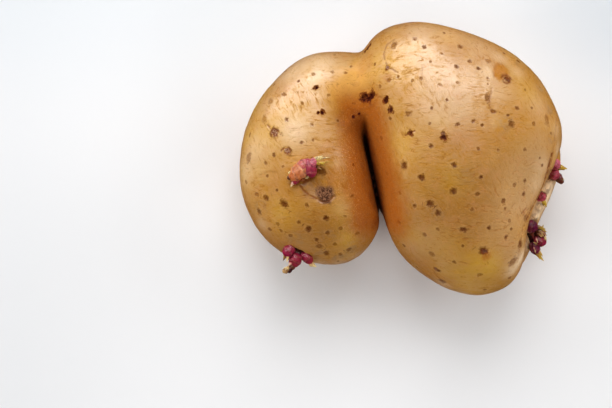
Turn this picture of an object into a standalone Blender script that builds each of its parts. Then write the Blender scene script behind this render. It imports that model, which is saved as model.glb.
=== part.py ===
"""A double potato, grown as two lobes joined at a neck, with five tufts of young sprouts in its eyes.

Metres, +Z up. The potato lies as it does on a table, its two lobes side by side along X and the
neck that joins them towards +Y. The origin is under the middle of its bounding box, on the table.
"""

import math

import bmesh
import bpy
import numpy as np
from mathutils import Matrix, Vector, noise
from mathutils.bvhtree import BVHTree

MM = 0.001

# Driving dimensions. Outlines are seen from above, anticlockwise, in millimetres like the heights.
LOBES = {
    "small_lobe": {
        "centre": (-34.0, 0.0),
        "outline": [
            (-59.0, -3.0), (-57.4, -15.5), (-51.4, -27.4), (-41.0, -35.8), (-27.5, -38.6),
            (-18.5, -37.2), (-11.8, -31.9), (-8.1, -24.6), (-9.4, -16.5), (-10.9, -8.0),
            (-13.0, 1.0), (-13.4, 10.0), (-6.0, 26.0), (-12.0, 36.4), (-23.0, 38.8),
            (-36.4, 35.6), (-48.8, 24.8), (-56.2, 11.2),
        ],
        "bottom": -0.6,
        "top": 44.5,
        "fullness": 2.35,
        "crown_shift": (3.0, 2.0),
        "foot_shift": (2.0, -2.0),
    },
    "large_lobe": {
        "centre": (20.0, 0.0),
        "outline": [
            (55.2, 14.0), (48.7, 26.8), (37.8, 37.0), (21.5, 44.2), (5.4, 48.0),
            (-6.0, 46.2), (-12.9, 40.8), (-17.0, 32.0), (-17.6, 20.0), (-14.0, 9.0),
            (-11.3, -1.0), (-9.4, -10.0), (-7.5, -19.0), (-4.2, -29.0), (1.2, -36.8),
            (10.4, -44.2), (19.0, -48.3), (28.4, -49.4), (37.8, -45.6), (42.5, -37.8),
            (42.8, -30.0), (44.2, -23.2), (49.0, -12.4), (53.6, -4.5), (56.2, 4.0),
        ],
        "bottom": -0.6,
        "top": 56.0,
        "fullness": 2.35,
        "crown_shift": (-1.0, 6.0),
        "foot_shift": (0.0, -1.0),
    },
    "neck": {
        "centre": (-14.0, 23.0),
        "outline": [
            (-27.0, 23.0), (-24.0, 17.0), (-14.0, 13.5), (-4.0, 16.0), (0.0, 23.0),
            (-5.0, 33.0), (-14.0, 36.6), (-23.0, 34.0),
        ],
        "bottom": 7.0,
        "top": 38.5,
        "fullness": 2.35,
        "crown_shift": (0.0, 0.0),
        "foot_shift": (0.0, 0.0),
    },
    "eye_shelf": {
        "centre": (48.0, -14.0),
        "outline": [
            (55.0, 9.0), (57.8, 3.0), (57.9, -3.0), (55.4, -11.5), (52.3, -18.0),
            (49.1, -24.2), (46.9, -31.2), (44.6, -38.2), (40.0, -42.0), (34.0, -38.0),
            (36.0, -26.0), (41.0, -12.0), (45.0, 0.0), (50.0, 9.0),
        ],
        "bottom": 6.0,
        "top": 33.0,
        "fullness": 2.0,
        "crown_shift": (0.0, 0.0),
        "foot_shift": (-8.0, 2.0),
    },
}  # a fullness of 2 is an ellipsoid, and more is boxier
LUMP_HEIGHT = 0.7 * MM
LUMP_SPACING = 24.0 * MM
LUMP_SEED = Vector((4.1, 1.7, 9.3))

# Where the lobes run together in a smooth saddle. Beyond it the cleft stays a narrow slot.
SADDLE = {"x": -14.5 * MM, "half_width": 22.0 * MM, "cleft_y": 10.0 * MM, "full_y": 21.0 * MM,
          "rim_y": 34.0 * MM, "top_y": 41.0 * MM, "rim_share": 0.08}
SKIRT = {"share": 0.3, "near": 6.0 * MM, "far": 15.0 * MM, "low": 20.0 * MM, "high": 27.0 * MM}
BLEND_ROUNDS = 240

# Hollows and swellings of the skin: plan position, radius and depth in millimetres. A negative
# depth is a swelling.
DENTS = [
    {"at": (-12.6, 22.2), "radius": 2.8, "depth": 1.2},  # stem scar, in the neck
    {"at": (-31.4, -9.4), "radius": 5.0, "depth": 1.3},  # eye of the small lobe
    {"at": (-28.0, -12.4), "radius": 2.8, "depth": 0.7},  # corky floor of that eye
    {"at": (36.0, 30.2), "radius": 3.4, "depth": 1.1},  # eye on the large lobe's shoulder
    {"at": (-21.0, -4.0), "radius": 8.0, "depth": -1.3},  # shoulder above the cleft
    {"at": (-20.5, -18.0), "radius": 8.0, "depth": -1.3},
    {"at": (0.0, -6.0), "radius": 9.0, "depth": -1.0},
    {"at": (6.0, -22.0), "radius": 9.0, "depth": -1.0},
    {"at": (14.0, -34.0), "radius": 9.0, "depth": -0.8},
]

# The brow: a fold over the row of eyes at the large lobe's free end. Its line is in millimetres.
BROW_LINE = [(55.6, 6.0), (53.2, -4.2), (49.0, -11.8), (46.2, -17.7), (43.8, -23.5),
             (42.6, -31.0), (41.4, -38.0)]
BROW = {"low": 20.0 * MM, "groove": 1.6 * MM, "groove_width": 1.4 * MM, "lip": 1.0 * MM,
        "lip_width": 3.0 * MM, "lip_set_in": 3.4 * MM, "fade": 10.0 * MM}

LOBE_SUBDIVISIONS = 6
VOXEL = 0.6 * MM
SKIN_TRIANGLES = 7000
EYE_GAP = 0.3 * MM  # between a sprout and the eye it stands in

# Sprouts. Each bud is (plan x, plan y, rise over the skin at the root, length, width, axis).
# Each scale, a small pointed leaf, is (base, tip, width). Millimetres, rise for every third value.
SPROUTS = {
    "sprout_crown": {
        "root": (-36.0, -5.2),
        "buds": [
            ((-36.2, -5.2, 1.3), 10.0, 5.4, (0.86, 0.5, 0.16)),
            ((-33.0, -3.2, 2.3), 5.4, 4.6, (0.9, 0.2, 0.4)),
            ((-38.8, -7.8, 1.0), 3.4, 2.5, (-0.5, -0.8, 0.3)),
        ],
        "scales": [
            ((-32.0, -2.2, 3.0), (-27.0, -1.2, 4.0), 1.9),
            ((-33.4, -1.8, 2.8), (-29.6, 0.6, 3.9), 1.6),
            ((-38.4, -5.8, 1.6), (-41.4, -6.2, 2.6), 1.5),
            ((-38.6, -7.6, 1.2), (-40.4, -10.4, 1.9), 1.4),
        ],
    },
    "sprout_foot": {
        "root": (-37.6, -33.4),
        "buds": [
            ((-38.0, -33.6, -1.4), 8.4, 4.2, (0.96, -0.2, -0.2)),
            ((-41.0, -33.9, 0.2), 4.6, 3.9, (-0.6, -0.6, 0.4)),
            ((-38.8, -36.4, -1.2), 5.6, 4.9, (-0.2, -0.9, 0.1)),
            ((-34.6, -36.2, -1.4), 4.6, 3.4, (0.5, -0.8, 0.1)),
            ((-40.3, -39.2, -1.0), 3.8, 2.6, (-0.6, -0.8, 0.1)),
            ((-41.7, -40.7, -0.8), 2.8, 2.6, (-0.7, -0.6, 0.2)),
        ],
        "scales": [
            ((-41.6, -34.6, 0.0), (-43.2, -37.4, 0.6), 2.0),
            ((-34.2, -37.2, -1.2), (-31.6, -39.6, -0.9), 2.1),
            ((-38.6, -37.6, 0.4), (-41.4, -38.2, 1.6), 1.4),
        ],
    },
    "sprout_brow_upper": {
        "root": (52.9, -3.8),
        "buds": [
            ((53.2, -4.0, -1.6), 7.0, 3.6, (0.1, 1.0, 0.1)),
            ((54.9, -1.9, -0.4), 3.8, 3.2, (0.9, 0.3, 0.3)),
            ((54.2, -6.2, -0.4), 4.4, 3.9, (0.8, -0.5, 0.3)),
            ((55.9, -8.0, -0.6), 3.2, 2.5, (0.7, -0.7, 0.1)),
        ],
        "scales": [
            ((55.4, -2.6, -0.2), (58.9, -4.4, 0.4), 1.9),
            ((55.8, -7.8, -0.2), (57.4, -8.8, 0.4), 1.2),
        ],
    },
    "sprout_brow_middle": {
        "root": (48.6, -13.8),
        "buds": [
            ((48.8, -13.8, -1.0), 4.0, 3.0, (0.6, -0.6, 0.4)),
            ((49.7, -14.2, 0.0), 3.2, 2.6, (0.7, -0.6, 0.4)),
        ],
        "scales": [((50.0, -14.8, 0.0), (51.5, -18.0, 0.0), 1.5)],
    },
    "sprout_brow_lower": {
        "root": (45.0, -26.0),
        "buds": [
            ((45.8, -27.0, -2.2), 9.0, 4.2, (0.3, -1.0, -0.1)),
            ((46.7, -24.3, -0.4), 5.2, 4.4, (0.8, 0.3, 0.4)),
            ((48.9, -29.2, -1.6), 4.8, 4.2, (0.9, -0.4, 0.1)),
            ((47.0, -32.4, -2.2), 4.8, 3.7, (0.5, -0.9, 0.0)),
        ],
        "scales": [
            ((47.9, -25.2, 0.2), (51.4, -26.6, 0.8), 1.9),
            ((48.9, -28.2, -0.9), (50.8, -26.8, 1.2), 1.4),
            ((47.3, -33.4, -2.0), (49.9, -37.2, -1.6), 2.3),
            ((45.4, -26.2, -0.9), (43.8, -27.6, 0.7), 1.2),
        ],
    },
}
BUD_SEGMENTS, BUD_RINGS = 10, 7
SCALE_SIDES = 6
SCALE_FLATNESS = 0.55


def material(name, colour, roughness):
    made = bpy.data.materials.new(name)
    made.use_nodes = True
    shader = made.node_tree.nodes["Principled BSDF"]
    shader.inputs["Base Color"].default_value = (*colour, 1.0)
    shader.inputs["Roughness"].default_value = roughness
    shader.inputs["Metallic"].default_value = 0.0
    made.diffuse_color = (*colour, 1.0)
    return made


def collection(name, parent):
    made = bpy.data.collections.new(name)
    parent.children.link(made)
    return made


def object_from(bm, name, home):
    """A new object in the home collection holding this bmesh, which is freed."""
    mesh = bpy.data.meshes.new(name)
    bm.to_mesh(mesh)
    bm.free()
    obj = bpy.data.objects.new(name, mesh)
    home.objects.link(obj)
    return obj


def apply_modifiers(obj):
    """Replaces the object's mesh by what its modifiers make of it."""
    bpy.context.view_layer.update()
    evaluated = obj.evaluated_get(bpy.context.evaluated_depsgraph_get())
    obj.data = bpy.data.meshes.new_from_object(evaluated)
    obj.modifiers.clear()


def smooth_step(value, low, high):
    """0 at low, 1 at high, with a smooth rise between; low may be the larger."""
    share = np.clip((value - low) / (high - low), 0.0, 1.0)
    return share * share * (3.0 - 2.0 * share)


def part_of(least, value, low, high):
    """Like smooth_step, but from the given least share at low."""
    return least + (1.0 - least) * smooth_step(value, low, high)


def closed_curve(points, steps=12):
    """Catmull-Rom points along the closed curve through the given ones."""
    knots = np.array(points, float)
    before, after, second = (np.roll(knots, shift, axis=0) for shift in (1, -1, -2))
    rows = []
    for t in np.arange(steps) / steps:
        rows.append(0.5 * (2 * knots + (after - before) * t
                           + (2 * before - 5 * knots + 4 * after - second) * t ** 2
                           + (3 * knots - before - 3 * after + second) * t ** 3))
    return np.stack(rows, axis=1).reshape(-1, 2)


def outline_reach(outline, centre):
    """A function giving the outline's distance from the centre at an angle."""
    arms = closed_curve(outline) - np.array(centre)
    angles = np.arctan2(arms[:, 1], arms[:, 0])
    reaches = np.hypot(arms[:, 0], arms[:, 1])
    order = np.argsort(angles)
    angles, reaches = angles[order], reaches[order]
    return lambda angle: float(np.interp(angle, angles, reaches, period=2 * math.pi))


def make_lobe(name, centre, outline, bottom, top, fullness, crown_shift, foot_shift, home):
    """A ball drawn out to an outline and two heights, leaning towards its crown and its foot."""
    reach = outline_reach(outline, centre)
    half = (top - bottom) / 2 * MM
    middle = (top + bottom) / 2 * MM
    power = 2.0 / fullness
    bm = bmesh.new()
    bmesh.ops.create_icosphere(bm, subdivisions=LOBE_SUBDIVISIONS, radius=1.0)
    for vert in bm.verts:
        way = vert.co.normalized()
        around = reach(math.atan2(way.y, way.x)) * math.hypot(way.x, way.y) ** power
        level = math.copysign(abs(way.z) ** power, way.z)
        lean = Vector(crown_shift if level > 0 else foot_shift) * level * level
        plan = Vector(centre) + lean + around * Vector((way.x, way.y)).normalized()
        vert.co = (plan.x * MM, plan.y * MM, middle + half * level)
    return object_from(bm, name, home)


def join_lobes(lobes):
    """One body of all the lobes, remeshed evenly and still sharp where they meet."""
    body = lobes[0]
    for lobe in lobes[1:]:
        union = body.modifiers.new("Join", "BOOLEAN")
        union.operation = "UNION"
        union.object = lobe
    remesh = body.modifiers.new("Even mesh", "REMESH")
    remesh.mode = "VOXEL"
    remesh.voxel_size = VOXEL
    apply_modifiers(body)
    for lobe in lobes[1:]:
        bpy.data.objects.remove(lobe)
    return body


def line_offsets(plan, points):
    """Distances from plan positions to a line of points, and how far each lies to its left."""
    line = np.array(points) * MM
    nearest = np.full(len(plan), np.inf)
    left = np.zeros(len(plan))
    for start, end in zip(line[:-1], line[1:]):
        run = end - start
        share = np.clip(((plan - start) @ run) / (run @ run), 0.0, 1.0)
        away = plan - (start + share[:, None] * run)
        distance = np.hypot(away[:, 0], away[:, 1])
        closer = distance < nearest
        nearest[closer] = distance[closer]
        left[closer] = (away @ np.array((-run[1], run[0])) / np.hypot(*run))[closer]
    return nearest, left


def blend_lobes(body):
    """Rounds the fold between the lobes into a saddle, and the shelf into the lobe under it."""
    spots = np.array([vert.co for vert in body.data.vertices])
    weights = smooth_step(np.abs(spots[:, 0] - SADDLE["x"]), SADDLE["half_width"], 0.0)
    weights *= smooth_step(spots[:, 1], SADDLE["cleft_y"], SADDLE["full_y"])
    weights *= part_of(SADDLE["rim_share"], spots[:, 1], SADDLE["top_y"], SADDLE["rim_y"])
    from_brow, _ = line_offsets(spots[:, :2], BROW_LINE)
    skirt = smooth_step(from_brow, SKIRT["far"], SKIRT["near"])
    skirt *= smooth_step(spots[:, 2], SKIRT["high"], SKIRT["low"])
    weights = np.maximum(weights, SKIRT["share"] * skirt)
    group = body.vertex_groups.new(name="blend")
    for index in np.flatnonzero(weights > 0.0).tolist():
        group.add([index], float(weights[index]), "REPLACE")
    blend = body.modifiers.new("Saddle", "SMOOTH")
    blend.vertex_group = group.name
    blend.factor = 0.5
    blend.iterations = BLEND_ROUNDS
    even = body.modifiers.new("Soften", "SMOOTH")
    even.factor = 0.5
    even.iterations = 5
    apply_modifiers(body)


def skin_under(body):
    """A function giving the skin's highest point and its normal over a plan position in metres."""
    tree = BVHTree.FromObject(body, bpy.context.evaluated_depsgraph_get())

    def drop(x, y):
        spot, normal, _, _ = tree.ray_cast(Vector((x, y, 1.0)), Vector((0.0, 0.0, -1.0)))
        return spot, normal

    return drop


def brow_depth(spots):
    """How far the skin goes in, or out if negative, along the brow."""
    plan = spots[:, :2]
    nearest, left = line_offsets(plan, BROW_LINE)
    ends = np.array((BROW_LINE[0], BROW_LINE[-1])) * MM
    from_end = np.minimum(*(np.linalg.norm(plan - end, axis=1) for end in ends))
    strength = smooth_step(from_end, 0.0, BROW["fade"])
    strength *= smooth_step(spots[:, 2], BROW["low"], BROW["low"] + 6 * MM)
    groove = BROW["groove"] * np.exp(-((nearest / BROW["groove_width"]) ** 2))
    from_lip = np.hypot(-left - BROW["lip_set_in"], nearest - np.abs(left))
    lip = BROW["lip"] * np.exp(-((from_lip / BROW["lip_width"]) ** 2))
    return (groove - lip) * strength


def carve_skin(body):
    """Moves each point of the skin along its normal by the lumps, the dents and the brow."""
    drop = skin_under(body)
    mesh = body.data
    count = len(mesh.vertices)
    spots, normals = np.empty(count * 3), np.empty(count * 3)
    mesh.vertices.foreach_get("co", spots)
    mesh.vertices.foreach_get("normal", normals)
    spots, normals = spots.reshape(-1, 3), normals.reshape(-1, 3)
    inwards = np.zeros(count)
    for dent in DENTS:
        middle = np.array(drop(*(value * MM for value in dent["at"]))[0])
        distance = np.linalg.norm(spots - middle, axis=1)
        inwards += dent["depth"] * MM * np.exp(-((distance / (dent["radius"] * MM)) ** 2))
    inwards += brow_depth(spots)
    for index, spot in enumerate(spots):
        lump = noise.noise(Vector(spot) / LUMP_SPACING + LUMP_SEED)
        inwards[index] -= LUMP_HEIGHT * lump
    mesh.vertices.foreach_set("co", (spots - normals * inwards[:, None]).ravel())
    mesh.update()


def thin_out(body):
    """Fewer, larger triangles where the skin is plain, and small ones in its folds."""
    body.data.calc_loop_triangles()
    decimate = body.modifiers.new("Thin out", "DECIMATE")
    decimate.ratio = SKIN_TRIANGLES / len(body.data.loop_triangles)
    apply_modifiers(body)


def cut_flat_spots(body):
    """Cuts the underside at the table, which leaves a small flat spot under each lobe."""
    bm = bmesh.new()
    bm.from_mesh(body.data)
    everything = bm.verts[:] + bm.edges[:] + bm.faces[:]
    bmesh.ops.bisect_plane(bm, geom=everything, plane_co=(0, 0, 0), plane_no=(0, 0, 1),
                           clear_inner=True)
    rims = [edge for edge in bm.edges if edge.is_boundary]
    bmesh.ops.holes_fill(bm, edges=rims)
    bmesh.ops.triangulate(bm, faces=bm.faces[:])
    bm.to_mesh(body.data)
    bm.free()


def turned_to(axis):
    """The rotation that carries +Z onto the axis."""
    return Vector(axis).to_track_quat("Z", "Y").to_matrix().to_4x4()


def add_bud(home, name, middle, length, width, axis, swell):
    """A swollen bud: a ball drawn out along its axis."""
    bm = bmesh.new()
    bmesh.ops.create_uvsphere(bm, u_segments=BUD_SEGMENTS, v_segments=BUD_RINGS, radius=0.5)
    size = Matrix.Diagonal((width + 2 * swell, width + 2 * swell, length + 2 * swell, 1.0))
    bm.transform(Matrix.Translation(middle) @ turned_to(axis) @ size)
    return object_from(bm, name, home)


def add_scale(home, name, base, tip, width, swell):
    """A small pointed leaf: a flattened cone from its base to its tip."""
    bm = bmesh.new()
    run = tip - base
    bmesh.ops.create_cone(bm, cap_ends=True, segments=SCALE_SIDES, radius1=width / 2 + swell,
                          radius2=width / 10 + swell, depth=run.length + 2 * swell)
    flat = Matrix.Diagonal((1.0, SCALE_FLATNESS, 1.0, 1.0))
    bm.transform(Matrix.Translation(base + run / 2) @ turned_to(run) @ flat)
    return object_from(bm, name, home)


def sprout_pieces(home, name, plan, root_height, swell=0.0):
    """The buds and scales of one sprout, as loose pieces, each swollen by the given margin."""
    def place(x, y, rise):
        return Vector((x * MM, y * MM, root_height + rise * MM))

    for number, (middle, length, width, axis) in enumerate(plan["buds"]):
        add_bud(home, f"{name}_bud_{number}", place(*middle), length * MM, width * MM, axis, swell)
    for number, (base, tip, width) in enumerate(plan["scales"]):
        add_scale(home, f"{name}_scale_{number}", place(*base), place(*tip), width * MM, swell)


def fuse(pieces):
    """Joins the loose pieces of a collection into its first one, which is returned."""
    first = pieces.objects[0]
    others = collection(pieces.name + "_others", pieces)
    for obj in list(pieces.objects)[1:]:
        pieces.objects.unlink(obj)
        others.objects.link(obj)
    union = first.modifiers.new("Fuse", "BOOLEAN")
    union.operation = "UNION"
    union.operand_type = "COLLECTION"
    union.collection = others
    apply_modifiers(first)
    for obj in list(others.objects):
        bpy.data.objects.remove(obj)
    bpy.data.collections.remove(others)
    return first


def grow_sprout(name, plan, body, parts, tools):
    """One sprout as a fused solid, and the eye it stands in, cut from the body a little wider."""
    root = skin_under(body)(*(value * MM for value in plan["root"]))[0]
    loose = collection(name + "_pieces", tools)
    sprout_pieces(loose, name, plan, root.z)
    sprout = fuse(loose)
    loose.objects.unlink(sprout)
    parts.objects.link(sprout)
    sprout.name = name
    wider = collection(name + "_eye", tools)
    sprout_pieces(wider, name + "_eye", plan, root.z, EYE_GAP)
    return sprout, fuse(wider)


def cut_eyes(body, eyes):
    for eye in eyes:
        cut = body.modifiers.new("Eye", "BOOLEAN")
        cut.operation = "DIFFERENCE"
        cut.object = eye
    apply_modifiers(body)
    for eye in eyes:
        bpy.data.objects.remove(eye)


def centre_on_origin(objects):
    """Moves every mesh so that the origin is under the middle of the whole, on the table."""
    corners = np.array([vert.co for obj in objects for vert in obj.data.vertices])
    middle = (corners.min(axis=0) + corners.max(axis=0)) / 2
    for obj in objects:
        obj.data.transform(Matrix.Translation((-middle[0], -middle[1], 0.0)))


def finish_look(obj, coat, sharp_angle):
    obj.data.materials.clear()
    obj.data.materials.append(coat)
    obj.data.shade_smooth()
    obj.data.set_sharp_from_angle(angle=math.radians(sharp_angle))


def main():
    for obj in list(bpy.data.objects):
        bpy.data.objects.remove(obj)
    scene_collection = bpy.context.scene.collection
    parts = collection("potato", scene_collection)
    tools = collection("tools", scene_collection)
    tuber = join_lobes([make_lobe(name, home=parts, **lobe) for name, lobe in LOBES.items()])
    tuber.name = "tuber"
    blend_lobes(tuber)
    carve_skin(tuber)
    thin_out(tuber)
    cut_flat_spots(tuber)
    grown = [grow_sprout(name, plan, tuber, parts, tools) for name, plan in SPROUTS.items()]
    cut_eyes(tuber, [eye for _, eye in grown])
    sprouts = [sprout for sprout, _ in grown]
    centre_on_origin([tuber, *sprouts])
    finish_look(tuber, material("potato_skin", (0.58, 0.33, 0.10), 0.55), 40)
    bud_skin = material("sprout_skin", (0.36, 0.06, 0.10), 0.45)
    for sprout in sprouts:
        finish_look(sprout, bud_skin, 50)
    bpy.data.collections.remove(tools)


main()
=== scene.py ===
import math
import random

import bmesh
import bpy
import numpy as np
from mathutils import Matrix, Vector, noise
from mathutils.bvhtree import BVHTree
from mathutils.kdtree import KDTree


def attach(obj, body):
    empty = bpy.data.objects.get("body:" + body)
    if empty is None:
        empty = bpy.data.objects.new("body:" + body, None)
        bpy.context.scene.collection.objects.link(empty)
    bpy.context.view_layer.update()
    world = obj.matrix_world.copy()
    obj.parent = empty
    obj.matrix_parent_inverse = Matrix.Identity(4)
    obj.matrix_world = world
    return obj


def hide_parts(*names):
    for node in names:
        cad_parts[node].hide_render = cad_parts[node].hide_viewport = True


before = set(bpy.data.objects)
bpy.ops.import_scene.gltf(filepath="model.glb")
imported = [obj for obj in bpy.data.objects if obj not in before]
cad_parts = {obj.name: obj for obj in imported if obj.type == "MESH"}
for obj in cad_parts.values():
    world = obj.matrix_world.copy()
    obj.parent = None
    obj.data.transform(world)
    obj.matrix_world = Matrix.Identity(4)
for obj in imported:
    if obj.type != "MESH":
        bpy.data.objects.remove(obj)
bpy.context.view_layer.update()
print("frame loaded:", ", ".join(sorted(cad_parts)))

mm = 0.001
dice = random.Random(11)


# camera: straight down, as the photograph was taken; pixels below are the photograph's

photo = {
    "width": 612,
    "height": 408,
    "eye": (-0.0348, -0.0159, 0.4544),
    "lens": 70.0,
    "sensor": 36.0,
    "outline": 28 * mm,  # height of the skin where its outline is seen
}


def addCamera():
    lens = bpy.data.cameras.new("photo camera")
    lens.lens = photo["lens"]
    lens.sensor_width = photo["sensor"]
    lens.clip_start = 0.001
    camera = bpy.data.objects.new("photo camera", lens)
    camera.location = photo["eye"]
    bpy.context.scene.collection.objects.link(camera)
    bpy.context.scene.camera = camera


def pixelRay(px, py):
    step = photo["sensor"] / photo["lens"] / photo["width"]
    return Vector(((px - photo["width"] / 2) * step, (photo["height"] / 2 - py) * step, -1.0))


def underPixel(px, py, z):
    # the point at height z, in metres, that shows at a pixel of the photograph
    eye = Vector(photo["eye"])
    return eye + pixelRay(px, py) * (eye.z - z)


# shader maths

def tone(red, green, blue):
    # a colour read as 0 to 255, as the linear colour that a shader takes
    share = [value / 255 for value in (red, green, blue)]
    line = [s / 12.92 if s <= 0.04045 else ((s + 0.055) / 1.055) ** 2.4 for s in share]
    return (*line, 1.0)


class Wire:
    # one output of a material's node, used in sums

    def __init__(self, tree, socket=None):
        self.tree = tree
        self.socket = socket

    def node(self, kind, settings=None, sockets=None, out=0):
        made = self.tree.nodes.new("ShaderNode" + kind)
        for name, value in (settings or {}).items():
            setattr(made, name, value)
        for name, value in (sockets or {}).items():
            if isinstance(value, Wire):
                self.tree.links.new(value.socket, made.inputs[name])
            else:
                made.inputs[name].default_value = value
        return Wire(self.tree, made.outputs[out])

    def maths(self, operation, *values):
        return self.node("Math", {"operation": operation}, dict(enumerate(values)))

    def __add__(self, other):
        return self.maths("ADD", self, other)

    def __radd__(self, other):
        return self.maths("ADD", other, self)

    def __sub__(self, other):
        return self.maths("SUBTRACT", self, other)

    def __rsub__(self, other):
        return self.maths("SUBTRACT", other, self)

    def __mul__(self, other):
        return self.maths("MULTIPLY", self, other)

    def __rmul__(self, other):
        return self.maths("MULTIPLY", other, self)

    def fade(self, low, high, to=1.0):
        # 0 at low, rising smoothly to the given share at high
        return self.node("MapRange", {"interpolation_type": "SMOOTHSTEP"},
                         {"Value": self, "From Min": low, "From Max": high, "To Max": to})


def mixed(flow, under, top, share, blend="MIX"):
    # a colour laid over another by a share
    return flow.node("Mix", {"data_type": "RGBA", "blend_type": blend},
                     {0: share, 6: under, 7: top}, out=2)


def cloud(flow, place, scale, detail=3.0, rough=0.5, bend=0.0):
    return flow.node("TexNoise", None, {"Vector": place, "Scale": scale, "Detail": detail,
                                        "Roughness": rough, "Distortion": bend})


def attribute(flow, name, kind="Fac"):
    return flow.node("Attribute", {"attribute_name": name}, out={"Color": 0, "Vector": 1, "Fac": 2}[kind])


def newMaterial(name, fixed):
    made = bpy.data.materials.new(name)
    made.use_nodes = True
    shader = made.node_tree.nodes["Principled BSDF"]
    for socket, value in fixed.items():
        shader.inputs[socket].default_value = value
    return made, shader, Wire(made.node_tree)


def feed(shader, flow, socket, wire):
    flow.tree.links.new(wire.socket, shader.inputs[socket])


# the skin's mesh

skin = {
    "seam": 0.002 * mm,  # points of the CAD triangles this near to each other are one
    "plainEdge": 1.25 * mm,  # length of the mesh's edges where the skin is plain
    "markEdge": 0.37 * mm,  # and on a mark
    "pitEdge": 0.27 * mm,
    "longest": 1.3,  # share of that length past which an edge is cut
    "rounds": 5,  # of cutting, and after them of smoothing
    "smoothings": 3,
    "mostTriangles": 190000,
    "spotMargin": 0.2 * mm,  # how far the finer mesh reaches past a mark
    "creaseMargin": 0.7 * mm,
    "swell": 0.22 * mm,  # gentle unevenness
    "swellSize": 13 * mm,
    "ripple": 0.05 * mm,
    "rippleSize": 3.6 * mm,
    "roughSize": 0.55 * mm,  # sizes of the noises that fray the marks
    "coarseSize": 1.6 * mm,
    "cork": 0.09 * mm,  # relief of the corky stains
}


def merged(node):
    # a closed copy of a CAD node's loose triangles
    bm = bmesh.new()
    bm.from_mesh(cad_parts[node].data)
    bmesh.ops.remove_doubles(bm, verts=bm.verts[:], dist=skin["seam"])
    return bm


def newObject(bm, name):
    mesh = bpy.data.meshes.new(name)
    bm.to_mesh(mesh)
    bm.free()
    piece = bpy.data.objects.new(name, mesh)
    bpy.context.scene.collection.objects.link(piece)
    return piece


def bakeModifiers(piece):
    bpy.context.view_layer.update()
    shaped = piece.evaluated_get(bpy.context.evaluated_depsgraph_get())
    piece.data = bpy.data.meshes.new_from_object(shaped)
    piece.modifiers.clear()


def roundedSkin():
    piece = newObject(merged("tuber"), "tuber_skin")
    rounder = piece.modifiers.new("round", "SUBSURF")
    rounder.levels = rounder.render_levels = 1
    softer = piece.modifiers.new("soften", "SMOOTH")
    softer.factor = 0.5
    softer.iterations = 6
    bakeModifiers(piece)
    return piece


addCamera()
tuber = roundedSkin()
skinTree = BVHTree.FromObject(tuber, bpy.context.evaluated_depsgraph_get())
print("skin rounded:", len(tuber.data.vertices), "points")


def onSkin(px, py):
    # the point of the skin that shows at a pixel of the photograph, or else the nearest to it
    spot, normal, _, _ = skinTree.ray_cast(Vector(photo["eye"]), pixelRay(px, py).normalized())
    if spot is None:
        spot, normal, _, _ = skinTree.find_nearest(underPixel(px, py, photo["outline"]))
    return spot, normal


# marks on the skin, at the photograph's pixels; their radii are in pixels of 0.36 mm

pixel = 0.36 * mm

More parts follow.
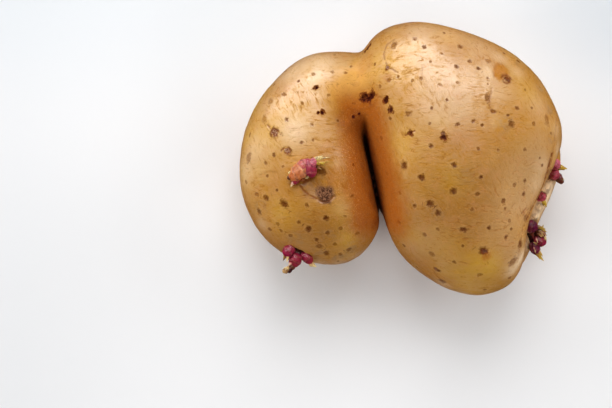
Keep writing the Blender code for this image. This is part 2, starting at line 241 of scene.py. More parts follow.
lenticels = {
    "small": 1.6,
    "usual": 2.2,
    "wide": 3.0,
    "broad": 3.8,
    "size": (0.9, 1.1),  # how far they vary from those radii
    "shade": (0.35, 0.8),
    "darkShade": 0.95,
    "faintShade": 0.1,
    "rim": 0.035 * mm,  # relief of a lenticel's rim and of its hollow
    "hollow": 0.05 * mm,
    "darkHollow": 0.12 * mm,  # and how much deeper the darkest ones are
    "left": {
        "small": [(298.5, 82), (302.3, 103.2), (328.7, 95), (338, 120.2), (345.4, 72.6), (351, 66.3),
                  (334.5, 55), (354, 103), (313, 140), (301.7, 142.4), (282.8, 166.2), (267.3, 175.7),
                  (345, 216), (353.4, 165), (338, 261), (277, 190.3), (312, 158), (352, 196)],
        "usual": [(313.5, 75), (332.5, 72), (284, 95), (286.8, 119.6), (312, 124.6), (274.2, 85.2),
                  (250, 135.2), (273.6, 155), (265.8, 163), (246.6, 182.2), (257, 194.3), (306.7, 205.2),
                  (277.6, 224), (299, 222.4), (281, 230.8), (269.6, 229.3), (290.8, 235.6), (340.4, 228.5),
                  (327.6, 232.7), (316.3, 239.6), (335, 244), (357.2, 233), (340.8, 253.8), (364, 150)],
        "wide": [(270.8, 101.8), (264.4, 119.6), (266.2, 197.7), (259.3, 211.7), (326, 218.4),
                 (308.6, 228.7), (319.3, 246.2), (348.8, 249.4), (326.4, 252.8)],
        "broad": [(249, 157.6), (284, 204), (321.3, 171.3)],
    },
    "right": {
        "small": [(386.7, 69), (398.3, 76.5), (390, 118.6), (442, 53.7), (430.4, 61.8), (421, 78.2),
                  (412.3, 80.4), (488, 78.2), (488, 84), (507.7, 115.3), (430, 123.2), (482.5, 125.2),
                  (498, 150), (540, 158.2), (542.2, 165.5), (478.4, 148.6), (504, 53.3), (444, 33.2),
                  (505.2, 208.4), (462.7, 246), (511.4, 229.2), (431.7, 108), (380, 86.3), (471.8, 209.4),
                  (525, 90), (532, 108), (551, 133), (447, 100), (374.9, 64.5)],
        "usual": [(389, 80), (414.5, 39.3), (424, 47.4), (456.4, 66.8), (469.6, 61.3), (478.4, 68.2),
                  (439.8, 84.8), (457.8, 82.6), (493.5, 111.5), (517, 108), (533.8, 123.7), (457.8, 124),
                  (473.2, 121), (431, 146), (525, 149.4), (481.3, 177), (477.3, 194.3), (525, 181.2),
                  (503.3, 200.6), (514.3, 185.2), (386.7, 173.4), (400, 193.3), (414.5, 205.7),
                  (437.7, 229.2), (489, 227.7), (424.5, 235), (509.5, 221), (454.4, 262.2), (438.7, 270.6),
                  (479.8, 274.7), (509.6, 278), (484.7, 289.8), (506.2, 286.4), (416.7, 267.4),
                  (399, 222.5), (404, 245.4), (506.2, 237.3), (518, 61.3), (523.8, 194), (381.4, 138.7)],
        "wide": [(408.5, 113.6), (460, 46.7), (488, 61), (487.6, 98), (511.7, 124), (547, 120),
                 (454.4, 164.8), (453.4, 190.8), (438, 213), (463.7, 229.5), (431.7, 254.4),
                 (507.7, 78.7), (520, 244)],
        "broad": [(393.5, 45.4), (404, 165.2), (421.4, 177.4), (430, 203.5), (483, 250.5), (512.8, 261.5)],
    },
    "long": {(249, 157.6): (1.7, 60), (284, 204): (1.5, -60), (487.6, 98): (1.8, 85),  # stretch, turn
             (547, 120): (1.9, 80), (463.7, 229.5): (1.6, 0), (512.8, 261.5): (1.7, 55),
             (520, 244): (1.6, 80), (321.3, 171.3): (1.5, -40), (264.4, 119.6): (1.5, -70)},
    "dark": [(454.4, 164.8), (430, 203.5), (453.4, 190.8), (326, 218.4), (481.3, 177), (404, 165.2),
             (421.4, 177.4), (463.7, 229.5), (308.6, 228.7), (284, 204), (431, 146), (483, 250.5)],
    "faint": [(270.8, 101.8), (264.4, 119.6), (439.8, 84.8), (488, 61), (386.7, 173.4),
              (400, 193.3), (457.8, 82.6), (547, 120)],
}

pits = [  # pixel, radius in pixels, depth in mm, and 0 for a dark hole to 1 for a healed scab
    (365.2, 97, 4.4, 0.9, 0), (371.8, 95.3, 4, 0.8, 0), (368.6, 98.6, 3.4, 0.5, 0),
    (386.2, 100, 3, 0.5, 0), (390.6, 109.8, 3.1, 0.35, 0.1), (353.6, 116.4, 1.8, 0.25, 0.1),
    (359.3, 113.6, 1.2, 0.25, 0.1), (410.6, 132.8, 2.3, 0.3, 0.1), (443.6, 133.4, 2.6, 0.3, 0.6),
    (444, 137, 3.1, 0.4, 0.1), (316.3, 88, 2.5, 0.45, 0), (321.8, 112.3, 2.5, 0.4, 0),
    (318.6, 112.6, 1.3, 0.2, 0), (274.8, 133, 4.6, 0.3, 1), (287.6, 151.4, 3.4, 0.3, 1),
    (435.6, 268.6, 2, 0.3, 0.6), (505.4, 78.4, 1.3, 0.2, 0.8), (508.6, 80.6, 1.5, 0.15, 0.5),
    (387.6, 67.8, 2.6, 0.15, 1), (365.6, 50.6, 2.4, 0.4, 0), (367.6, 48.2, 2.8, 0.5, 0),
    (369.6, 45.8, 2.2, 0.4, 0), (484.6, 251.4, 3, 0.2, 0.5),
]

pitRim = 0.05 * mm  # height of the skin round a pit

creases = [  # fine lines in the skin, and painted shadow where marked below: width and depth in mm, darkness, and the pixels along them
    (0.3, 0.04, 0.6, [(394, 40), (387, 44.6), (383.7, 54), (385.4, 62), (388.4, 67.4)]),
    (0.4, 0.1, 0.6, [(388.4, 67.4), (392.4, 69.4), (397.6, 72.4)]),
    (0.3, 0.05, 0.35, [(421.9, 65.7), (422.2, 71), (421.6, 77)]),
    (0.32, 0.09, 0.5, [(491.8, 88), (490.2, 98), (489.6, 106), (491.4, 111.5), (494.6, 111.8)]),
    (0.34, 0.08, 0.9, [(299.5, 184), (303.4, 190.2), (310, 195.6), (316.6, 198.6)]),
    # no line in the skin but painted shadow under the crown sprout, over a shallow groove
    (1, 0.25, 0.85, [(296, 183.6), (302, 183), (308, 180.4), (313, 176.6), (316, 172)]),
    (0.45, 0.22, 0.4, [(316.6, 198.6), (321, 201.6), (326, 202.6), (330.4, 200), (334, 196.6)]),
    (0.36, 0.2, 1, [(268, 125.6), (271, 128.4), (274.6, 128.8), (278, 131), (280.6, 134)]),
    (0.32, 0.12, 0.9, [(272.4, 129.4), (270.6, 132.6), (271.4, 136)]),
    (0.3, 0.1, 0.7, [(273.6, 134.2), (276, 132.2), (277.4, 136.6)]),
    (0.32, 0.14, 1, [(281, 150.6), (284, 148), (288.6, 147.4), (291.2, 150.4), (291, 153.4)]),
    (0.3, 0.1, 0.6, [(284.4, 152.6), (287, 154.6), (290, 154.8)]),
    (0.4, 0.05, 0.2, [(292, 160.6), (301, 160.2), (312, 157.6)]),
    (0.4, 0.05, 0.3, [(260, 175), (268, 171.4), (276, 172)]),
    # the brow's fold: a real groove, darkened with painted shade
    (0.6, 0.4, 1, [(552.8, 152), (550.4, 161), (548, 171), (545, 181), (541, 190), (536.4, 200),
                   (531, 211), (527, 219)]),
    (0.45, 0.2, 0.4, [(524, 226), (521.4, 235), (520, 244), (519, 253), (517, 262)]),
    (0.45, 0.15, 0.35, [(557, 118), (556.2, 130), (554.6, 142), (552.8, 152)]),
    (0.3, 0.16, 0.7, [(520.6, 215.4), (523.6, 211.6), (526.6, 207.8)]),
    (0.3, 0.16, 0.6, [(522.8, 216.2), (525.4, 212.6), (528.4, 209)]),
    (0.3, 0.14, 0.5, [(525.4, 216.6), (528, 213), (530, 210.4)]),
    (0.35, 0.1, 0.25, [(506, 214), (511, 209), (514.4, 204)]),
    (0.32, 0.14, 1, [(501.6, 77.4), (503.6, 75.2), (506.6, 74.8), (509.6, 76.4), (511, 79)]),
    (0.3, 0.12, 0.9, [(503.4, 79.6), (505.6, 77.6), (508.4, 78)]),
    (0.34, 0.1, 0.8, [(504, 82), (507, 83.2), (510, 82)]),
    (0.4, 0.06, 0.3, [(494.6, 77.4), (493.4, 71.6), (495.4, 66.2), (500, 63.2)]),
    (0.4, 0.16, 0.5, [(442, 280.6), (438.4, 277.4), (434.6, 272.4)]),
    (0.3, 0.2, 0.9, [(410.6, 132.6), (405.6, 135.4)]),
    (0.3, 0.2, 0.9, [(410.6, 132.6), (411.8, 136.6)]),
    (0.3, 0.2, 0.9, [(410.6, 132.6), (414.6, 131)]),
    (0.3, 0.16, 0.8, [(410.6, 132.6), (409.2, 129.4)]),
    (0.3, 0.2, 0.9, [(365, 97), (360.4, 98.4)]),
    (0.3, 0.2, 0.9, [(365, 97), (362.6, 93.4)]),
    (0.3, 0.2, 0.8, [(372.2, 95.4), (376.4, 94.6)]),
    (0.3, 0.16, 0.6, [(371.6, 95.4), (372.6, 90.6)]),
    (0.35, 0.16, 0.7, [(368.6, 99.4), (370.2, 104.4)]),
    (0.5, 0.12, 0.3, [(376, 96), (381, 97.4), (386, 99.4)]),
]

creaseStep = 0.7  # pixels between the points along a crease

patches = {  # patches with an edge, of another colour: pixel, radius in pixels, strength; amber and umber are partly stains and partly painted shade
    "amberAndPaintedShade": [(486.4, 255.6, 5, 0.6), (388, 78, 4.4, 0.4), (366, 62, 12, 0.25), (331, 150, 11, 0.2),
              (338, 178, 12, 0.3)],
    "cork": [(321.6, 192, 6.2, 1), (328.2, 192.8, 6.2, 1), (325.4, 197.6, 6, 1), (442.4, 281.3, 4, 0.8),
             (436.6, 270, 2.6, 0.6)],
    # umber: at the stain, the cork's margin and the recess it is skin colour; under the crown sprout, along
    # the brow's fold, at the neck above the cleft and beside the cleft it is painted shade
    "umberAndPaintedShade": [(506.4, 78.4, 6.4, 0.6), (313, 188, 12, 0.55), (325.4, 194.4, 10.5, 0.75),
              (302, 181.6, 5.6, 1), (309.6, 176.8, 4.8, 1), (293, 181.6, 4.6, 0.8), (324, 185, 8.5, 0.6),
              (320.6, 172, 5.4, 0.5), (370, 101, 9, 0.35), (355, 117, 9, 0.6), (349, 120, 14, 0.35),
              (550, 172, 4.4, 0.8), (544.6, 184, 3.6, 0.8), (538, 197, 4.4, 0.8), (531, 208.6, 3.2, 0.8),
              (525.6, 218.6, 4, 0.8), (526, 232, 4, 0.5), (372, 200, 9, 0.5), (376, 222, 9, 0.4)],
    "grey": [(548.6, 190.4, 4.6, 0.8), (540, 207.6, 6, 0.8), (533, 213, 4, 0.5), (352, 248, 9, 0.35),
             (330, 236, 10, 0.25), (318, 252, 9, 0.35), (338, 258, 7, 0.4), (296, 240, 10, 0.25),
             (262, 208, 9, 0.25), (466, 176, 9, 0.2), (520, 66, 6, 0.35), (540, 88, 6, 0.35),
             (551, 112, 7, 0.35), (552, 138, 6, 0.3), (438, 214, 7, 0.3), (505, 124, 9, 0.25)],
    "ochre": [(502, 70.8, 9.4, 1), (499.4, 75.4, 5.4, 1)],
}

swells = [  # low rises and hollows of the upper skin: pixel, radius in pixels, height in mm
    (316, 56, 22, 2.4),
    (288, 72, 24, 2.6),
    (262, 104, 24, 2.2),
    (248, 142, 24, 1.6),
    (347, 100, 19, -1.8),
    (343, 122, 15, -1.0),
    (420, 30, 26, 1.4),
]
swellTop = 40 * mm  # height at which those pixels are taken
swellFade = (16 * mm, 32 * mm)  # heights at which the swells start and are full

zones = {  # wide soft parts that are paler, duller or less waxy: pixel, radius in pixels, strength; pale, dull, bloom and honey lay painted light, shade and highlight
    # paler where the skin faces the lamps and along lit edges: painted light
    "paleAndPaintedLight": [(262, 140, 26, 0.8), (292, 118, 26, 0.7), (322, 72, 26, 0.5), (370, 66, 24, 0.9),
             (400, 66, 26, 0.6), (334, 150, 14, 0.2), (404, 146, 22, 0.8), (245, 180, 16, 0.6),
             (300, 165, 18, 0.3), (540, 210, 14, 0.8), (470, 288, 13, 0.6), (350, 242, 10, 0.3)],
    "yellow": [(256, 106, 15, 0.8), (247, 138, 12, 0.8), (243, 170, 9, 0.6), (268, 86, 10, 0.6),
               (530, 92, 16, 0.5), (452, 176, 22, 0.35), (390, 152, 12, 0.4), (280, 212, 18, 0.5),
               (472, 272, 24, 0.7), (350, 238, 12, 0.7), (412, 240, 14, 0.8), (400, 222, 10, 0.5),
               (492, 262, 14, 0.7), (345, 212, 12, 0.4), (440, 245, 18, 0.4)],
    # a brighter golden tone on the neck and the upper rim: the skin's hue with painted light
    "honeyAndPaintedLight": [(450, 37, 13, 0.35), (335, 88, 13, 0.7), (352, 84, 14, 0.95), (362, 70, 11, 0.6),
              (346, 74, 11, 0.6), (374, 76, 9, 0.5)],
    "fawn": [(524, 172, 30, 0.9), (540, 145, 16, 0.7), (512, 205, 26, 0.7), (500, 235, 24, 0.6),
             (430, 238, 20, 0.7), (412, 248, 12, 0.7), (470, 284, 16, 0.3), (516, 255, 16, 0.8),
             (450, 262, 16, 0.4), (538, 205, 16, 0.8), (300, 245, 16, 0.4)],
    "sandy": [(346, 150, 16, 0.8), (346, 180, 18, 1), (346, 208, 18, 1), (346, 232, 14, 0.8)],
    # painted highlight and sheen on faces turned to the window, painted rim light along the lower edges and
    # on the lit strip under the brow
    "paintedSheenAndFlecks": [(505, 293, 9, 0.5), (484, 298, 9, 0.5), (462, 293, 9, 0.5), (443, 284, 8, 0.4),
              (520, 281, 9, 0.5), (340, 266, 8, 0.4), (320, 267, 7, 0.35), (360, 258, 8, 0.35),
              (262, 224, 8, 0.3), (551, 188, 10, 1), (545, 203, 10, 1), (537, 216, 8, 1),
              (558, 150, 8, 0.45), (557, 130, 8, 0.3), (527, 243, 7, 1), (521, 258, 9, 1),
              (512, 271, 8, 0.6), (543, 165, 10, 0.4), (537, 185, 10, 0.4), (525, 205, 13, 0.15),
              (322, 64, 18, 0.6), (305, 89, 13, 0.2), (290, 74, 17, 0.55), (306, 58, 12, 0.3),
              (255, 150, 16, 0.45), (266, 106, 14, 0.2), (420, 33, 18, 0.45), (450, 34, 16, 0.2),
              (245, 172, 14, 0.4), (294, 130, 15, 0.8), (440, 72, 22, 0.3), (468, 80, 15, 0.2),
              (480, 48, 18, 0.3), (487, 72, 9, 0.5), (500, 58, 8, 0.4), (517, 72, 8, 0.3),
              (538, 105, 14, 0.25), (430, 112, 18, 0.3), (460, 108, 18, 0.35), (500, 90, 16, 0.3),
              (345, 208, 8, 0.2)],
    "matt": [(353, 76, 11, 1), (350, 90, 17, 1), (344, 116, 16, 0.9), (338, 92, 12, 0.8),
             (368, 104, 14, 0.7)],
    # darker and duller where the skin turns away from the lamps: painted shade
    "dullAndPaintedShade": [(450, 145, 18, 0.25), (420, 150, 14, 0.15), (500, 188, 14, 0.3), (460, 180, 15, 0.3),
             (450, 215, 38, 1), (460, 185, 24, 0.6), (500, 190, 30, 0.9), (322, 228, 30, 0.9),
             (345, 118, 12, 0.6), (410, 235, 26, 0.7), (300, 240, 20, 0.4), (480, 235, 30, 0.4)],
}

elsewhere = {  # lenticels on the skin that the photograph doesn't show
    "tries": 2500,
    "apart": 5.2 * mm,
    "radius": (0.45 * mm, 1.2 * mm),
    "shade": (0.3, 0.85),
    "slant": 0.12,  # cosine to the camera below which a face counts as unseen
    "within": 1.0 * mm,  # and how near to it the camera's ray has to land
}


def lenticelMarks():
    marks = []
    for side in ("left", "right"):
        for size in ("small", "usual", "wide", "broad"):
            for at in lenticels[side][size]:
                spot, normal = onSkin(*at)
                stretch, turn = lenticels["long"].get(at, (1.0 + 0.3 * dice.random(), dice.uniform(0, 180)))
                run = Vector((math.cos(math.radians(turn)), math.sin(math.radians(turn)), 0))
                run = (run - normal * run.dot(normal)).normalized()
                shade = dice.uniform(*lenticels["shade"])
                if at in lenticels["dark"]:
                    shade = lenticels["darkShade"]
                elif at in lenticels["faint"]:
                    shade = lenticels["faintShade"]
                radius = lenticels[size] * pixel * dice.uniform(*lenticels["size"])
                marks.append({"spot": spot, "radius": radius, "run": run, "stretch": stretch,
                              "shade": shade})
    return marks


def scatterMarks(marks):
    # more lenticels on the sides and the underside, kept apart from each other
    taken = [mark["spot"] for mark in marks]
    polygons = tuber.data.polygons
    areas = np.array([polygon.area for polygon in polygons])
    pick = np.random.default_rng(7)
    eye = Vector(photo["eye"])
    for index in pick.choice(len(areas), size=elsewhere["tries"], p=areas / areas.sum()).tolist():
        polygon = polygons[index]
        spot, normal = polygon.center.copy(), polygon.normal.copy()
        turned = normal.dot((eye - spot).normalized()) > elsewhere["slant"]
        hit = skinTree.ray_cast(eye, (spot - eye).normalized())[0]
        if turned and hit is not None and (hit - spot).length < elsewhere["within"]:
            continue
        if any((spot - other).length < elsewhere["apart"] for other in taken):
            continue
        taken.append(spot)
        run = normal.orthogonal().normalized()
        marks.append({"spot": spot, "radius": pick.uniform(*elsewhere["radius"]),
                      "run": Matrix.Rotation(pick.uniform(0, math.tau), 3, normal) @ run,
                      "stretch": 1.0 + 0.5 * pick.random(), "shade": pick.uniform(*elsewhere["shade"])})
    return marks


def lineMarks():
    # points close together along every line: the skin's creases and the painted shadow lines
    marks = []
    for wide, deep, dark, line in creases:
        for start, end in zip(line[:-1], line[1:]):
            steps = max(2, int(math.dist(start, end) / creaseStep))
            for number in range(steps + 1):
                share = number / steps
                spot, _ = onSkin(*(a + (b - a) * share for a, b in zip(start, end)))
                marks.append({"spot": spot, "wide": wide * mm, "deep": deep * mm, "dark": dark})
    return marks


def holeMarks():
    return [{"spot": onSkin(px, py)[0], "wide": wide * pixel, "deep": deep * mm, "scab": scab}
            for px, py, wide, deep, scab in pits]


def treeOf(marks):
    tree = KDTree(len(marks))
    for number, mark in enumerate(marks):
        tree.insert(mark["spot"], number)
    tree.balance()
    return tree


def nearestTo(tree, spots):
    found = [tree.find(spot) for spot in spots]
    return np.array([hit[1] for hit in found]), np.array([hit[2] for hit in found])


def column(marks, name, chosen):
    return np.array([mark[name] for mark in marks])[chosen]


spotMarks, creaseMarks, pitMarks = scatterMarks(lenticelMarks()), lineMarks(), holeMarks()
spotTree, creaseTree, pitTree = treeOf(spotMarks), treeOf(creaseMarks), treeOf(pitMarks)
print("marks placed:", len(spotMarks), "lenticels,", len(creaseMarks), "crease points,",
      len(pitMarks), "pits")


def wantedEdges(spots):
    # how long the mesh's edges may be at each point
    wanted = np.full(len(spots), skin["plainEdge"])
    near, gap = nearestTo(spotTree, spots)
    reach = column(spotMarks, "radius", near) * column(spotMarks, "stretch", near)
    onSpot = gap < reach * 1.25 + skin["spotMargin"]
    wanted = np.where(onSpot, np.minimum(wanted, skin["markEdge"]), wanted)
    near, gap = nearestTo(creaseTree, spots)
    wanted = np.where(gap < skin["creaseMargin"], np.minimum(wanted, skin["markEdge"]), wanted)
    near, gap = nearestTo(pitTree, spots)
    inPit = gap < column(pitMarks, "wide", near) * 1.5
    return np.where(inPit, np.minimum(wanted, skin["pitEdge"]), wanted)


def refine(piece):
    # smaller triangles where the marks are
    bm = bmesh.new()
    bm.from_mesh(piece.data)
    bmesh.ops.triangulate(bm, faces=bm.faces[:])
    for _ in range(skin["rounds"]):
        bm.verts.index_update()
        wanted = wantedEdges([vert.co.copy() for vert in bm.verts])
        tooLong = [edge for edge in bm.edges
                   if edge.calc_length() > skin["longest"] * min(wanted[vert.index] for vert in edge.verts)]
        if not tooLong or len(bm.faces) > skin["mostTriangles"]:
            break
        bmesh.ops.subdivide_edges(bm, edges=tooLong, cuts=1)
        bmesh.ops.triangulate(bm, faces=[face for face in bm.faces if len(face.verts) > 3])
    for _ in range(skin["smoothings"]):
        bmesh.ops.smooth_vert(bm, verts=bm.verts[:], factor=0.5, use_axis_x=True, use_axis_y=True,
                              use_axis_z=True)
    print("skin refined:", len(bm.faces), "triangles")
    bm.to_mesh(piece.data)
    bm.free()


refine(tuber)


def smoothStep(value, low, high):
    share = np.clip((value - low) / (high - low), 0.0, 1.0)
    return share * share * (3.0 - 2.0 * share)


def keepAttribute(mesh, name, values, kind="FLOAT"):
    held = mesh.attributes.new(name, kind, "POINT")
    held.data.foreach_set("value" if kind == "FLOAT" else "vector", np.asarray(values, np.float32).ravel())


flanks = {  # where the skin turns amber towards the cleft, seen from above, in mm; the amber is partly the skin's colour and partly painted shade between the lobes
    "small": [(-24.5, 60), (-24, 20), (-22, 4), (-20.6, -10), (-18.8, -26), (-17.6, -40)],
    "large": [(-12, 60), (-10, 22), (-6, 6), (-3.2, -6), (-0.5, -20), (1.5, -28), (8, -37.5), (18, -46)],
    "cleft": [(-17, 40), (-16.5, 26), (-15, 12), (-12, 0), (-9.5, -10), (-8, -20), (-7, -30)],
    "soft": 3.4,
    "wobble": 1.2,
    "neck": (28.0, 17.0),  # y at which the amber and its painted shade are gone and at which they are full
    "end": (-32.0, -22.0),
    "endShare": 0.1,  # what is left of it past that end, and near the table
    "low": (4.0, 14.0),
    "lowShare": 0.3,
}

cleft = {  # where the two lobes touch, deep between them, in mm, and where the painted shade in the cleft lies
    "from": -17.5,
    "to": 13.0,
    "bottom": 5.0,
    "top": 25.0,
    "highest": 34.0,  # the walls are measured up to here
    "widest": 6.0,
    "soft": 3.0,
    "gap": 0.03,
    "reach": 2.6,
    "dark": 1.5,
    "darkTop": (40.0, 30.0),  # where the painted shade starts, from above, and where it is full
    "darkEnd": (14.0, 9.0),
}


def acrossLine(spots, line):
    # how far each point lies to the right of a line that runs down the page
    line = np.array(line) * mm
    order = np.argsort(line[:, 1])
    return spots[:, 0] - np.interp(spots[:, 1], line[order, 1], line[order, 0])


def amberAndPaintedShadeFlanks(spots, coarse):
    # how amber each point is beside the cleft, partly skin colour and partly painted shade between the
    # lobes: less towards the neck, the lower end and the table
    soft, wobble = flanks["soft"] * mm, flanks["wobble"] * mm * coarse
    across = {name: acrossLine(spots, flanks[name]) for name in ("small", "large", "cleft")}
    onSmall = smoothStep(across["small"] + wobble, -soft, soft) * (across["cleft"] < 0)
    onLarge = smoothStep(across["large"] + wobble, soft, -soft) * (across["cleft"] >= 0)
    share = np.maximum(onSmall, onLarge)
    y, z = (spots[:, 1] + wobble) / mm, spots[:, 2] / mm
    share *= smoothStep(y, *flanks["neck"])
    share *= flanks["endShare"] + (1 - flanks["endShare"]) * smoothStep(y, *flanks["end"])
    return share * (flanks["lowShare"] + (1 - flanks["lowShare"]) * smoothStep(z, *flanks["low"]))


def betweenLobes():
    # the smooth sheet halfway between the cleft's two walls, as sums of powers of y and z
    rows, middles = [], []
    line = np.array(flanks["cleft"])
    line = line[np.argsort(line[:, 1])]
    for y in np.arange(cleft["from"], cleft["to"], 1.0):
        x = float(np.interp(y, line[:, 1], line[:, 0]))
        for z in np.arange(cleft["bottom"], cleft["highest"], 1.0):
            start = Vector((x, y, z)) * mm
            walls = [skinTree.ray_cast(start, Vector((way, 0, 0)), cleft["widest"] * mm) for way in (-1, 1)]
            if all(wall[0] is not None and wall[1].x * way < 0 for wall, way in zip(walls, (-1, 1))):
                rows.append([1, y, z, y * y, y * z, z * z])
                middles.append((walls[0][0].x + walls[1][0].x) / 2 / mm)
    return np.linalg.lstsq(np.array(rows, float), np.array(middles), rcond=None)[0]


def fromSheet(spots, sheet):
    # x of the sheet beside each point, and how far the point lies to its right, in mm
    x, y, z = (spots / mm).T
    middle = sheet[0] + sheet[1] * y + sheet[2] * z + sheet[3] * y * y + sheet[4] * y * z + sheet[5] * z * z
    return middle, x - middle


# how much painted shade each point gets deep in the cleft, near the sheet between the lobes
def paintedCleftShade(spots, sheet):
    _, y, z = (spots / mm).T
    aside = np.abs(fromSheet(spots, sheet)[1])
    share = smoothStep(aside, cleft["dark"], cleft["dark"] * 0.4) * smoothStep(z, *cleft["darkTop"])
    return share * smoothStep(y, *cleft["darkEnd"])


def closeCleft(spots, sheet):
    # brings the cleft's walls together along that sheet, so that no light comes up through it
    _, y, z = (spots / mm).T
    middle, aside = fromSheet(spots, sheet)
    share = smoothStep(np.abs(aside), cleft["reach"], cleft["reach"] * 0.55)
    share *= smoothStep(y, cleft["from"] - cleft["soft"], cleft["from"])
    share *= smoothStep(y, cleft["to"] + cleft["soft"] / 2, cleft["to"])
    share *= smoothStep(z, cleft["bottom"] - cleft["soft"], cleft["bottom"])
    share *= smoothStep(z, cleft["top"] + cleft["soft"], cleft["top"])
    closed = aside * (1 - share) + np.sign(aside) * cleft["gap"] * share
    moved = spots.copy()
    moved[:, 0] = (middle + np.where(share > 0, closed, aside)) * mm
    return moved


def lenticelRelief(mesh, spots, points):
    # a low rim round a shallow hollow
    near, _ = nearestTo(spotTree, points)
    away = spots - column(spotMarks, "spot", near)
    run = column(spotMarks, "run", near)
    along = (away * run).sum(axis=1)
    away = away - run * (along * (1 - 1 / column(spotMarks, "stretch", near)))[:, None]
    away /= column(spotMarks, "radius", near)[:, None]
    gap = np.linalg.norm(away, axis=1)
    shade = column(spotMarks, "shade", near)
    rim = np.exp(-((gap - 1.0) / 0.34) ** 2)
    hollow = np.exp(-(gap / 0.62) ** 2)
    keepAttribute(mesh, "spotAway", np.clip(away, -4, 4), "FLOAT_VECTOR")
    keepAttribute(mesh, "spotNear", smoothStep(gap, 2.2, 1.6))
    keepAttribute(mesh, "spotShade", shade)
    return lenticels["rim"] * rim - (lenticels["hollow"] + lenticels["darkHollow"] * shade) * hollow


def pitRelief(mesh, points, coarse, rough):
    # a hole with a frayed edge and a low rim
    near, gap = nearestTo(pitTree, points)
    gap = gap / column(pitMarks, "wide", near) * (1 + 0.45 * coarse + 0.3 * rough)
    hole = smoothStep(gap, 1.0, 0.3)
    keepAttribute(mesh, "pitGap", np.minimum(gap, 3.0))
    keepAttribute(mesh, "pitScab", column(pitMarks, "scab", near))
    return pitRim * np.exp(-((gap - 1.2) / 0.3) ** 2) - hole * column(pitMarks, "deep", near)


def creaseRelief(mesh, points, rough):
    near, gap = nearestTo(creaseTree, points)
    gap = gap / column(creaseMarks, "wide", near) * (1 + 0.25 * rough)
    keepAttribute(mesh, "creaseAndPaintedShadow", np.exp(-(gap / 1.1) ** 2) * column(creaseMarks, "dark", near))
    return -np.exp(-(gap ** 2)) * column(creaseMarks, "deep", near)


def stainShares(spots, coarse):
    # how strongly each patch, stain and painted shade alike, and each zone shows at each point
    shares = {name: np.zeros(len(spots)) for name in (*patches, *zones)}

    def gapTo(px, py, wide):
        return np.linalg.norm(spots - np.array(onSkin(px, py)[0]), axis=1) / (wide * pixel)

    for stain, places in patches.items():
        for px, py, wide, share in places:
            soft = share * smoothStep(gapTo(px, py, wide) + 0.25 * coarse, 1.15, 0.7)
            shares[stain] = np.maximum(shares[stain], soft)
    shares["amberAndPaintedShade"] = np.maximum(shares["amberAndPaintedShade"], amberAndPaintedShadeFlanks(spots, coarse))
    for zone, places in zones.items():
        for px, py, wide, share in places:
            shares[zone] += share * np.exp(-(gapTo(px, py, wide) * (1 + 0.15 * coarse)) ** 2)
        shares[zone] = np.minimum(shares[zone], 1.0)
    return shares


def raisedBy(spots):
    # the swells, which fade out down the sides
    raised = np.zeros(len(spots))
    for px, py, wide, high in swells:
        middle = underPixel(px, py, swellTop)
        gap = np.hypot(spots[:, 0] - middle.x, spots[:, 1] - middle.y) / (wide * pixel)
        raised += high * mm * np.exp(-gap ** 2)
    return raised * smoothStep(spots[:, 2], *swellFade)


def carve(piece):
    # moves the skin in and out at its marks, and keeps what the material needs to know
    mesh = piece.data
    spots, normals = np.empty(len(mesh.vertices) * 3), np.empty(len(mesh.vertices) * 3)
    mesh.vertices.foreach_get("co", spots)
    mesh.vertices.foreach_get("normal", normals)
    spots, normals = spots.reshape(-1, 3), normals.reshape(-1, 3)
    points = [Vector(spot) for spot in spots]

    def unevenness(size):
        return np.array([noise.noise(point / size) for point in points])

    rough, coarse = unevenness(skin["roughSize"]), unevenness(skin["coarseSize"])
    height = skin["swell"] * unevenness(skin["swellSize"]) + skin["ripple"] * unevenness(skin["rippleSize"])
    height += lenticelRelief(mesh, spots, points)
    height += pitRelief(mesh, points, coarse, rough)
    height += creaseRelief(mesh, points, rough)
    shares = stainShares(spots, coarse)
    for name, values in shares.items():
        keepAttribute(mesh, name, values)
    height += shares["cork"] * skin["cork"] * rough

    sheet = betweenLobes()
    # the cleft's painted shade, kept for the material
    keepAttribute(mesh, "deep", paintedCleftShade(spots, sheet))
    moved = closeCleft(spots + normals * height[:, None], sheet)
    moved[:, 2] += raisedBy(spots)
    mesh.vertices.foreach_set("co", moved.ravel())
    mesh.update()
    mesh.shade_smooth()


carve(tuber)
print("skin carved")


# the skin's finish

